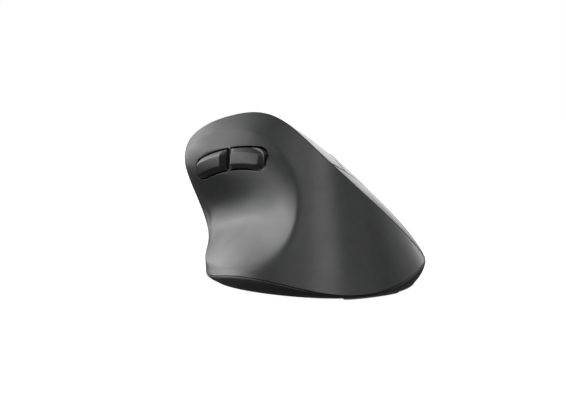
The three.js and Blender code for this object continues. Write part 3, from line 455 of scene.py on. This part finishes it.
def shell(name, u, rows, surface, inward):
    """Closed shell. `rows` holds v for each u and row; both long edges are rounded on the outside."""
    grid_u = np.repeat(u[:, None], rows.shape[1], 1)
    outer = surface(grid_u, rows)
    round_r = np.minimum(LIP, 0.4 * taper(u)[:, 0])
    edges = []
    for end, inner_row in ((0, 1), (-1, -2)):
        step = inward(u, rows[:, end])
        along = unit(outer[:, end] - outer[:, inner_row])
        into = unit(step)
        centre = outer[:, end] + (into - along) * round_r[:, None]
        arc = [
            centre + round_r[:, None] * (along * math.sin(a) - into * math.cos(a))
            for a in np.linspace(0, math.pi / 2, 6)
        ]
        edges.append((arc, step))
    keep = slice(1, -1)
    inner_rows = rows[:, ::6] if (rows.shape[1] - 1) % 6 == 0 else rows[:, :: rows.shape[1] - 1]
    inner_u = np.repeat(u[:, None], inner_rows.shape[1], 1)
    inner = surface(inner_u, inner_rows) + inward(inner_u, inner_rows)
    low, high = edges[0][0][::-1], edges[1][0]
    ring = [*low, *outer[:, keep].swapaxes(0, 1), *high, *inner.swapaxes(0, 1)[::-1]]
    return capped_rings(name, list(np.stack(ring, 1)))


def half_joint(u):
    """Half the gap along the ridge: fine beside the fixed palm cover, full beside the keys."""
    return SEAM / 2 * (SEAM_PALM + (1 - SEAM_PALM) * smooth(0.31, 0.37, u))


def wall_rows(u):
    """v rows that follow the edge of the thumb scoop, so that the crease stays crisp."""
    fine = np.linspace(0, 1, 401)
    base = net_point(WALL_NET, u[:, None], fine[None])
    inside, soft, _ = scoop_field(base[..., 1], base[..., 2])
    middle = fine[np.argmax(inside, 1)]
    low, high = middle.copy(), middle.copy()
    for i, line in enumerate(inside):
        within = fine[line > 0]
        if len(within):
            low[i], high[i] = within[0], within[-1]
    low = np.minimum(low, middle - 0.1).clip(0.08, 0.8)
    high = np.maximum(high, middle + 0.1).clip(0.2, 0.93)
    top = 1 - edge_share(wall, u, 0.97, 1, half_joint(u))
    lengths = np.maximum(np.linalg.norm(base[:, -1] - base[:, 0], axis=-1), 4)
    near = np.minimum(1.6 / lengths, 0.04)
    round_v = np.minimum(LIP / lengths, 0.05)
    start = round_v * 1.6

    def span(a, b, n, ends):
        t = np.linspace(0, 1, n + 1)
        return a[:, None] + (b - a)[:, None] * (t if ends else t[1:])[None]

    offsets = np.array([-0.6, -0.36, -0.18, 0, 0.18, 0.36, 0.6, 1])
    columns = [
        np.zeros((len(u), 1)),
        span(start, low - near, 18, True),
        low[:, None] + near[:, None] * offsets,
        span(low + near, high - near, 36, False),
        high[:, None] + near[:, None] * offsets,
        span(high + near, top - start, 18, False),
        top[:, None],
    ]
    return np.concatenate(columns, 1)


def panel_rows(u):
    joint = half_joint(u) + SEAM_FRONT * smooth(0.5, 0.8, u)
    low = edge_share(panel, u, 0, 0.03, joint)
    base = panel(u, np.zeros_like(u)), panel(u, np.ones_like(u))
    lengths = np.maximum(np.linalg.norm(base[1] - base[0], axis=-1), 4)
    start = np.minimum(LIP / lengths, 0.05) * 1.6
    t = np.linspace(0, 1, 95)[None]
    middle = (low + start)[:, None] + (1 - low - 2 * start)[:, None] * t
    return np.concatenate([low[:, None], middle, np.ones((len(u), 1))], 1)


def around(n):
    """Steps around the body, closer together at the pointed ends."""
    t = np.linspace(0, 1, n)
    t = t - 0.6 * np.sin(2 * math.pi * t) / (2 * math.pi)
    return END + (1 - 2 * END) * t


# ------------------------------------------------------------------ cutters with rounded lips
def loop_normals(loop):
    run = np.roll(loop, -1, 0) - np.roll(loop, 1, 0)
    normal = unit(np.stack([run[:, 1], -run[:, 0]], -1))
    area = np.sum(loop[:, 0] * np.roll(loop[:, 1], -1) - np.roll(loop[:, 0], -1) * loop[:, 1])
    return normal if area > 0 else -normal


def lip_cutter(loop, place, depth=CUT_DEPTH, lip=LIP):
    """Solid that cuts along a loop and rounds the edge; place(loop, level) gives points, up positive."""
    normal = loop_normals(loop)
    rings = [place(loop + normal * lip * 1.05, CUT_ABOVE)]
    rings.append(place(loop + normal * lip * 1.05, 0.02))
    for a in np.linspace(0.12, math.pi / 2, 6):
        rings.append(place(loop + normal * lip * (1 - math.sin(a)), -lip * (1 - math.cos(a))))
    rings.append(place(loop, -depth))
    return capped_rings("cutter", rings)


def rounded_rect(x0, x1, y0, y1, r):
    """Closed loop, anticlockwise, with rounded corners and points about a step apart."""
    step = 0.8
    points = []
    corners = [(x1 - r, y1 - r, 0), (x0 + r, y1 - r, 1), (x0 + r, y0 + r, 2), (x1 - r, y0 + r, 3)]
    for cx, cy, quarter in corners:
        for a in np.linspace(quarter * math.pi / 2, (quarter + 1) * math.pi / 2, 6):
            points.append((cx + r * math.cos(a), cy + r * math.sin(a)))
    loop = []
    for a, b in zip(points, points[1:] + points[:1]):
        n = max(1, round(math.dist(a, b) / step))
        loop += [(a[0] + (b[0] - a[0]) * k / n, a[1] + (b[1] - a[1]) * k / n) for k in range(n)]
    return np.array(loop)


def on_panel(loop, level):
    z = skin(loop[:, 0], loop[:, 1]) + level
    return from_tilt(np.stack([loop[:, 0], loop[:, 1], z], -1))


def on_wall(loop, level):
    x = wall_x(loop[:, 0], loop[:, 1]) - level
    return np.stack([x, loop[:, 0], loop[:, 1]], -1)


# ------------------------------------------------------------------ thumb buttons
def band_middle(y):
    return BAND_TOP - BAND_FALL * (y - BAND_PEAK) ** 2


def outline_half(name, y):
    y0, y1 = BUTTONS[name]
    free = y1 if name == "forward" else y0
    reach = np.minimum(1, abs(np.clip(y, y0, y1) - free) / BAND_ROUND)
    return BAND_HALF * (0.45 + 0.55 * np.sqrt(1 - (1 - reach) ** 2))


def band_loop(name, grow):
    """Outline of a thumb button in (y, z), grown by `grow`, anticlockwise."""
    y0, y1 = BUTTONS[name][0] - grow, BUTTONS[name][1] + grow
    bend = (1 - np.cos(np.linspace(0, math.pi, 41))) / 2
    ys = y0 + (y1 - y0) * bend
    half = outline_half(name, ys) + grow
    low = np.stack([ys, band_middle(ys) - half], -1)
    high = np.stack([ys, band_middle(ys) + half], -1)[::-1]
    ends = []
    for a, b in ((low[-1], high[0]), (high[-1], low[0])):
        ends.append([a + (b - a) * k / 8 for k in range(1, 8)])
    return np.concatenate([low, ends[0], high, ends[1]])


def soft_ramp(d, width):
    """Rises from 0 to 1 over `width` and levels off with a small round."""
    blend = 0.12
    t = d / width
    return np.where(
        t < 1 - blend, t, np.where(t > 1 + blend, 1, t - (t - 1 + blend) ** 2 / (4 * blend))
    )


def thumb_button(name):
    y0, y1 = BUTTONS[name][0] + BUTTON_INSET, BUTTONS[name][1] - BUTTON_INSET
    t = np.linspace(0, 1, 61)
    ys = y0 + (y1 - y0) * (t - 0.5 * np.sin(2 * math.pi * t) / (2 * math.pi))
    s = np.linspace(-1, 1, 41)
    y = np.repeat(ys[:, None], len(s), 1)
    half = (outline_half(name, ys) - BUTTON_INSET)[:, None]
    z = band_middle(y) + s[None] * half
    ends = np.minimum(soft_ramp(y - y0, BUTTON_END), soft_ramp(y1 - y, BUTTON_END))
    side = soft_ramp(1 - abs(s), BAND_LEDGE)[None]
    raise_ = BAND_PROUD * side * ends
    face = wall_x(y.ravel(), z.ravel()).reshape(y.shape) - raise_
    front = np.stack([face, y, z], -1)
    back = np.stack([np.full_like(y, BUTTON_BACK), y, z], -1)
    n = y.size
    faces = ring_faces(len(ys), len(s), closed=False)
    faces += [tuple(k + n for k in reversed(f)) for f in ring_faces(len(ys), len(s), closed=False)]
    border = list(range(len(s))) + [i * len(s) + len(s) - 1 for i in range(1, len(ys))]
    border += [(len(ys) - 1) * len(s) + j for j in range(len(s) - 2, -1, -1)]
    border += [i * len(s) for i in range(len(ys) - 2, 0, -1)]
    for a, b in zip(border, border[1:] + border[:1]):
        faces.append((a, b, b + n, a + n))
    obj = new_mesh(name, np.concatenate([front.reshape(-1, 3), back.reshape(-1, 3)]), faces)
    face_outward(obj)
    return obj


# ------------------------------------------------------------------ materials
def moulded(name, colour, rough, grain=3200.0, bump=0.06, wear=0.0, metal=0.0):
    """Moulded plastic or metal: fine grain in the bump, patches in roughness and a little in colour."""
    material = bpy.data.materials.new(name)
    material.use_nodes = True
    tree = material.node_tree
    shader = tree.nodes["Principled BSDF"]
    shader.inputs["Metallic"].default_value = metal
    spread = 0.03
    where = tree.nodes.new("ShaderNodeTexCoord")
    link = tree.links.new

    def noise(scale, detail, roughness=0.5):
        made = tree.nodes.new("ShaderNodeTexNoise")
        made.inputs["Scale"].default_value = scale
        made.inputs["Detail"].default_value = detail
        made.inputs["Roughness"].default_value = roughness
        link(where.outputs["Object"], made.inputs["Vector"])
        return made.outputs["Fac"]

    def remap(value, low, high, from_low=0.3, from_high=0.7):
        made = tree.nodes.new("ShaderNodeMapRange")
        made.inputs["From Min"].default_value = from_low
        made.inputs["From Max"].default_value = from_high
        made.inputs["To Min"].default_value = low
        made.inputs["To Max"].default_value = high
        link(value, made.inputs["Value"])
        return made.outputs["Result"]

    patches = noise(90, 3)
    fine = noise(grain, 2, 0.6)
    link(remap(patches, rough - spread, rough + spread), shader.inputs["Roughness"])
    tint = tree.nodes.new("ShaderNodeMix")
    tint.data_type = "RGBA"
    tint.inputs["A"].default_value = (*[c * 0.88 for c in colour], 1)
    tint.inputs["B"].default_value = (*[min(1, c * 1.12) for c in colour], 1)
    link(remap(noise(260, 4), 0, 1), tint.inputs["Factor"])
    out = tint.outputs["Result"]
    if wear:
        edge = tree.nodes.new("ShaderNodeNewGeometry").outputs["Pointiness"]
        worn = tree.nodes.new("ShaderNodeMix")
        worn.data_type = "RGBA"
        link(remap(edge, 0, wear, 0.52, 0.62), worn.inputs["Factor"])
        link(out, worn.inputs["A"])
        worn.inputs["B"].default_value = (*[min(1, c * 2.2 + 0.01) for c in colour], 1)
        out = worn.outputs["Result"]
    link(out, shader.inputs["Base Color"])
    relief = tree.nodes.new("ShaderNodeBump")
    relief.inputs["Strength"].default_value = bump
    relief.inputs["Distance"].default_value = 0.0002
    link(fine, relief.inputs["Height"])
    link(relief.outputs["Normal"], shader.inputs["Normal"])
    return material


LOOKS = {
    "body": moulded("satin charcoal plastic", (0.024, 0.025, 0.027), 0.36, wear=0.2),
    "keys": moulded("satin charcoal plastic, keys", (0.028, 0.029, 0.031), 0.34, wear=0.2),
    "hull": moulded("satin black plastic", (0.024, 0.0245, 0.0255), 0.42, wear=0.15),
    "rubber": moulded("black rubber", (0.014, 0.014, 0.014), 0.7, bump=0.12),
    "glide": moulded("smooth white glide", (0.72, 0.72, 0.7), 0.3),
    "inner": moulded("moulded grey plastic", (0.05, 0.054, 0.06), 0.5),
    "board": moulded("green solder mask", (0.012, 0.085, 0.035), 0.35, grain=900),
    "chip": moulded("moulded chip body", (0.012, 0.012, 0.013), 0.5),
    "steel": moulded("plated steel", (0.62, 0.63, 0.65), 0.28, metal=1.0, bump=0.03),
    "clear": moulded("pale clear moulding", (0.6, 0.66, 0.7), 0.12, bump=0.01),
    "red": moulded("red moulding", (0.38, 0.02, 0.015), 0.35),
    "cell": moulded("cell sleeve", (0.13, 0.18, 0.24), 0.3, bump=0.01),
    "ribbon": moulded("flat cable", (0.17, 0.21, 0.27), 0.35),
}
SLOT_OF = {s["node"]: s["material_slot"] for s in frame["record"]["subparts"]}
for cad_name, cad_object in frame["nodes"].items():
    look = LOOKS[SLOT_OF[cad_name]]
    for material_slot in cad_object.material_slots:
        material_slot.material = look


# ------------------------------------------------------------------ pieces
def build_wall():
    u = around(420)
    body = shell("wall", u, wall_rows(u), wall, wall_inward)
    for name in BUTTONS:
        boolean(body, lip_cutter(band_loop(name, GAP + WINDOW_GROW), on_wall, lip=WINDOW_LIP))
    y0, y1 = BUTTONS["back"][1], BUTTONS["forward"][0]
    middle = band_middle((y0 + y1) / 2)
    web = rounded_rect(y0 - 0.2, y1 + 0.2, middle - BAND_HALF, middle + BAND_HALF, 0.2)
    boolean(body, lip_cutter(web, on_wall, depth=WEB_SINK, lip=WINDOW_LIP))
    finish_piece(body, "Side_shell", LOOKS["body"], "case", "side_shell")
    for name in BUTTONS:
        node = name + "_button"
        finish_piece(thumb_button(name), node.capitalize(), LOOKS["keys"], node, node)


def build_panel():
    u = around(420)
    whole = shell("panel", u, panel_rows(u), panel, panel_inward)
    edge = SPINE_HALF + KEY_GAP
    rear, far = SPLIT_Y + 0.1, 62.0
    slot_half = WHEEL_WIDTH / 2 + SLOT_SIDE
    channels = [
        rounded_rect(-far, KEY_RIGHT + KEY_GAP, SPLIT_Y, SPLIT_Y + KEY_GAP, CHANNEL_CORNER),
        rounded_rect(-edge, -SPINE_HALF, rear, far, CHANNEL_CORNER),
        rounded_rect(SPINE_HALF, edge + KEY_CLEARANCE, rear, far, CHANNEL_CORNER),
        rounded_rect(KEY_RIGHT, KEY_RIGHT + KEY_GAP, rear, far, CHANNEL_CORNER),
        rounded_rect(-slot_half, slot_half, SLOT_Y0, SLOT_Y1, 3.4),
        np.array([
            ((DPI_R + GAP) * math.cos(a), DPI_Y + (DPI_R + GAP) * math.sin(a))
            for a in np.linspace(0, 2 * math.pi, 49)[:-1]
        ]),
    ]
    for loop in channels:
        boolean(whole, lip_cutter(loop, on_panel))
    parts = sorted(islands(whole), key=lambda o: -len(o.data.vertices))
    named = {}
    for part in parts:
        middle = to_tilt(np.array([v.co for v in part.data.vertices])).mean(0)
        if middle[1] < SPLIT_Y or middle[0] > KEY_RIGHT:
            key = "palm_cover"
        elif middle[0] < -SPINE_HALF:
            key = "left_key"
        elif middle[0] > SPINE_HALF:
            key = "right_key"
        else:
            key = "key_spine"
        if key in named:
            bpy.data.objects.remove(part)
        else:
            named[key] = part
    for key, part in named.items():
        body = key if key.endswith("_key") else "case"
        slot = "keys" if key.endswith("_key") else "body"
        finish_piece(part, key.capitalize(), LOOKS[slot], body, key)


def hull_blank():
    """Solid between the seam of the body and the underside; the bowed side rounds over below."""
    u = around(260)
    loop = np.concatenate([wall(u, np.zeros_like(u)), panel(u, np.ones_like(u))[::-1]])

    def ring(scale, height, down):
        points = (loop - HULL_CENTRE) * scale + HULL_CENTRE
        z = loop[:, 2] - HULL_JOINT
        points[:, 2] = z * (1 - down) + height * down
        return points

    def bow(t):
        return 1 - (1 - FOOT_SCALE) * t * t

    rings = [ring(FOOT_SCALE - 0.02, FLOOR_Z, 1), ring(FOOT_SCALE - 0.01, 0, 0), ring(0.993, 0, 0)]
    rings += [ring(1 - 0.0035, 0, 0), ring(1.0, HULL_Z, 0.05)]
    rings += [ring(bow(t), HULL_Z, t) for t in np.linspace(0.1, 0.9, 17)]
    rings += [ring(bow(t), HULL_Z, down) for t, down in ((0.94, 0.975), (0.97, 0.99), (0.99, 0.998))]
    rings.append(ring(FOOT_SCALE - 0.012, HULL_Z, 1))
    return capped_rings("hull", rings)


def add_bays(hull):
    """Boxes around the cell and the receiver, posts for the main board, and the hollows in them."""
    under = FLOOR_Z - 0.5
    walls = 2 * BAY_WALL
    boolean(hull, slab(BAY_W + walls, BAY_L + walls, under, BAY_TOP + BAY_WALL, *BAY), "UNION")
    boolean(hull, slab(POCKET_W + walls, POCKET_L + walls, under, POCKET_TOP + BAY_WALL, *POCKET), "UNION")
    for place in BOARD_POSTS:
        boolean(hull, post(BOARD_POST_R, under, BOARD_Z - GAP, *place), "UNION")
        boolean(hull, post(BOARD_HOLE_R, BOARD_Z - BOARD_HOLE_DEPTH, BOARD_Z, *place))
    boolean(hull, slab(BAY_W, BAY_L, 0, BAY_TOP, *BAY))
    boolean(hull, slab(POCKET_W + 4, POCKET_L, 2.4, POCKET_TOP, POCKET[0] - 2, POCKET[1]))


def cut_openings(hull):
    """Screw holes with counterbores, the hole for the lens and the slot of the power knob."""
    through = FLOOR_Z + 1
    for place in SCREWS:
        boolean(hull, post(HEAD_R + GAP, 0, HULL_Z + HEAD_H, *place, flare=HEAD_FLARE))
        boolean(hull, post(SHANK_R, 0, through, *place))
    boolean(hull, post(SENSOR_R, 0, through, *SENSOR_AT, flare=SENSOR_FLARE))
    x, y = KNOB_AT
    sides = x - KNOB_HALF_X, x + KNOB_HALF_X, y - KNOB_HALF_Y, y + KNOB_HALF_Y
    boolean(hull, box_solid(*sides, 0, through, KNOB_ROUND))


def cut_door(hull):
    """Opening of the battery door, with a groove on each side for its lip."""
    x, rear = BAY[0], BAY[1] - BAY_L / 2
    half = (BAY_W + DOOR_EXTRA) / 2 + GAP
    groove = half + DOOR_SIDE
    bottom, top = DOOR_Z + DOOR_LIP - GAP, DOOR_Z + DOOR_THICK + GAP
    boolean(hull, box_solid(x - half, x + half, rear, FAR, DOOR_Z - 2 * GAP, DOOR_Z + DOOR_PLATE))
    boolean(hull, box_solid(x - groove, x + groove, rear, FAR, bottom, top))


def build_hull():
    hull = hull_blank()
    add_bays(hull)
    cut_openings(hull)
    cut_door(hull)
    finish_piece(hull, "Base_shell", LOOKS["hull"], "case", "base_shell")


def build_feet():
    """Oval glide pads with a rounded rim; each sits on a thin layer of adhesive."""
    angles = np.linspace(0, 2 * math.pi, 72, endpoint=False)
    profile = [(0.3, HULL_Z - 0.02), (0.3, 0.5), (0.03, 0.5), (0, 0.46), (0, 0.2), (0.06, 0.07), (0.2, 0)]
    for place, x, y, half_x, half_y in FEET:
        rings = []
        for inset, z in profile:
            across = x + (half_x - inset) * np.cos(angles)
            along = y + (half_y - inset) * np.sin(angles)
            rings.append(np.stack([across, along, np.full_like(angles, z)], -1))
        node = "glide_foot_" + place
        finish_piece(capped_rings("foot", rings), node.capitalize(), LOOKS["glide"], "case", node)


def build_wheel():
    """Tyre with a crowned, ribbed tread, turned about the tilted axle."""
    half = WHEEL_WIDTH / 2
    arc = np.linspace(-1, 1, 15)
    profile = [(RIM_R, -half + 0.3), (RIM_R + 0.4, -half + 0.05)]
    profile += [(WHEEL_R - RIB_HEIGHT - 1.1 * abs(a) ** 3.2, a * half) for a in arc]
    profile += [(RIM_R + 0.4, half - 0.05), (RIM_R, half - 0.3)]

    def ribs(angle, k):
        if k < 3 or k > len(profile) - 4:
            return 0 * angle
        return RIB_HEIGHT - 2 * RIB_HEIGHT * smooth(0.35, 0.8, abs(np.sin(angle * RIB_COUNT)))

    rings = lathe(profile, 300, ribs)
    count = len(rings[0])
    points = np.concatenate(rings)
    faces = ring_faces(len(rings), count)
    last = (len(rings) - 1) * count
    faces += [(k, last + k, last + (k + 1) % count, (k + 1) % count) for k in range(count)]
    points = points[:, [2, 1, 0]] * [1, 1, -1] + [0, 0, WHEEL_Z]
    tyre = new_mesh("tyre", from_tilt(points), faces)
    face_outward(tyre)
    finish_piece(tyre, "Wheel_tyre", LOOKS["rubber"], "wheel", "wheel_tyre", sharp=50)


def build_dpi():
    """Round button whose dished face follows the skin of the spine."""
    angles = np.linspace(0, 2 * math.pi, 64, endpoint=False)

    def ring(radius, drop):
        x, y = radius * np.cos(angles), DPI_Y + radius * np.sin(angles)
        return from_tilt(np.stack([x, y, skin(x, y) + DPI_PROUD - drop], -1))

    x, y = DPI_R * np.cos(angles), DPI_Y + DPI_R * np.sin(angles)
    rings = [from_tilt(np.stack([x, y, np.full_like(x, DPI_STEM)], -1)), ring(DPI_R, 1.2)]
    for a in np.linspace(0, math.pi / 2, 6):
        rings.append(ring(DPI_R - DPI_ROUND * (1 - math.cos(a)), DPI_ROUND * (1 - math.sin(a))))
    rings += [ring(r, DPI_DISH * (1 - (r / DISH_R) ** 2)) for r in (1.9, 1.5, 1.0, 0.5)]
    button = capped_rings("dpi", rings)
    finish_piece(button, "Dpi_button", LOOKS["keys"], "dpi_button", "dpi_button")


build_wall()
build_panel()
build_hull()
build_feet()
build_wheel()
build_dpi()

# ------------------------------------------------------------------ camera
TARGET = Vector((-0.0026, -0.0052, 0.030))
AZIMUTH, ELEVATION, DISTANCE = math.radians(37), math.radians(6), 0.5
FOCAL_PX, FRAME_WIDTH, SENSOR = 1250, 566, 36.0
look_along = Vector(
    (math.sin(AZIMUTH) * math.cos(ELEVATION), math.cos(AZIMUTH) * math.cos(ELEVATION), -math.sin(ELEVATION))
)
camera_data = bpy.data.cameras.new("camera")
camera_data.sensor_width = SENSOR
camera_data.lens = FOCAL_PX / FRAME_WIDTH * SENSOR
camera_data.shift_x = -26 / FRAME_WIDTH
camera_data.shift_y = 8.2 / FRAME_WIDTH
camera_data.clip_start = 0.01
camera = bpy.data.objects.new("camera", camera_data)
camera.location = TARGET - look_along * DISTANCE
camera.rotation_euler = look_along.to_track_quat("-Z", "Y").to_euler()
bpy.context.scene.collection.objects.link(camera)
bpy.context.scene.camera = camera

# ------------------------------------------------------------------ floor and light
def cove():
    """Pale floor that curves up into a wall all around. Only the camera sees it, so it throws no
    light of its own on the object."""
    profile = [(0.02 * 1.6**k, -1e-4) for k in range(11)]
    profile += [(2.2 + 0.8 * math.sin(a), 0.8 - 0.8 * math.cos(a)) for a in np.linspace(0, math.pi / 2, 9)]
    profile += [(3.0, 2.0), (3.0, 4.0)]
    rings = lathe(profile, 96)
    faces = ring_faces(len(rings), 96)
    faces.append(tuple(range(96)))
    made = new_mesh("floor", np.concatenate(rings), faces)
    paint = bpy.data.materials.new("pale floor")
    paint.use_nodes = True
    shader = paint.node_tree.nodes["Principled BSDF"]
    shader.inputs["Base Color"].default_value = (0.3, 0.3, 0.3, 1)
    shader.inputs["Roughness"].default_value = 0.7
    shader.inputs["Emission Color"].default_value = (1, 1, 1, 1)
    shader.inputs["Emission Strength"].default_value = 0.97
    made.data.materials.append(paint)
    for poly in made.data.polygons:
        poly.use_smooth = True
    made.visible_diffuse = False
    made.visible_glossy = False
    made.visible_shadow = False
    return made


floor = cove()


def softbox(name, azimuth, elevation, power, size=0.45, height=0.0):
    """Area light a metre from the object. Azimuth 0 is behind its palm end, 90 on its left."""
    azimuth, elevation = math.radians(azimuth), math.radians(elevation)
    level = math.cos(elevation)
    place = Vector((-math.sin(azimuth) * level, -math.cos(azimuth) * level, math.sin(elevation)))
    data = bpy.data.lights.new(name, "AREA")
    data.shape = "RECTANGLE"
    data.size, data.size_y = size, height or size
    data.energy = power
    light = bpy.data.objects.new(name, data)
    light.location = place + Vector((0, 0, 0.03))
    light.rotation_euler = (-place).to_track_quat("-Z", "Y").to_euler()
    bpy.context.scene.collection.objects.link(light)


softbox("front low", 170, 2, 0.9, 0.5, 0.3)
softbox("front left low", 150, 0, 1.4)
softbox("left low", 130, 10, 1.2)
softbox("front left", 150, 22, 3.5, 0.5)
softbox("front", 180, 25, 1.5)
softbox("over the camera", 45, 50, 2.3)
softbox("over the left side", 90, 50, 1.1)
softbox("backdrop", 222, 20, 6.0, 1.2, 0.7)
softbox("right low", 275, 20, 1.2, 0.8)
softbox("over the right side", 300, 55, 1.2, 0.8)
softbox("behind the palm", 0, 30, 1.6, 0.8)

world = bpy.data.worlds.new("studio")
bpy.context.scene.world = world
world.use_nodes = True
world.node_tree.nodes["Background"].inputs["Color"].default_value = (1, 1, 1, 1)
world.node_tree.nodes["Background"].inputs["Strength"].default_value = 0.1
bpy.context.scene.view_settings.view_transform = "Standard"
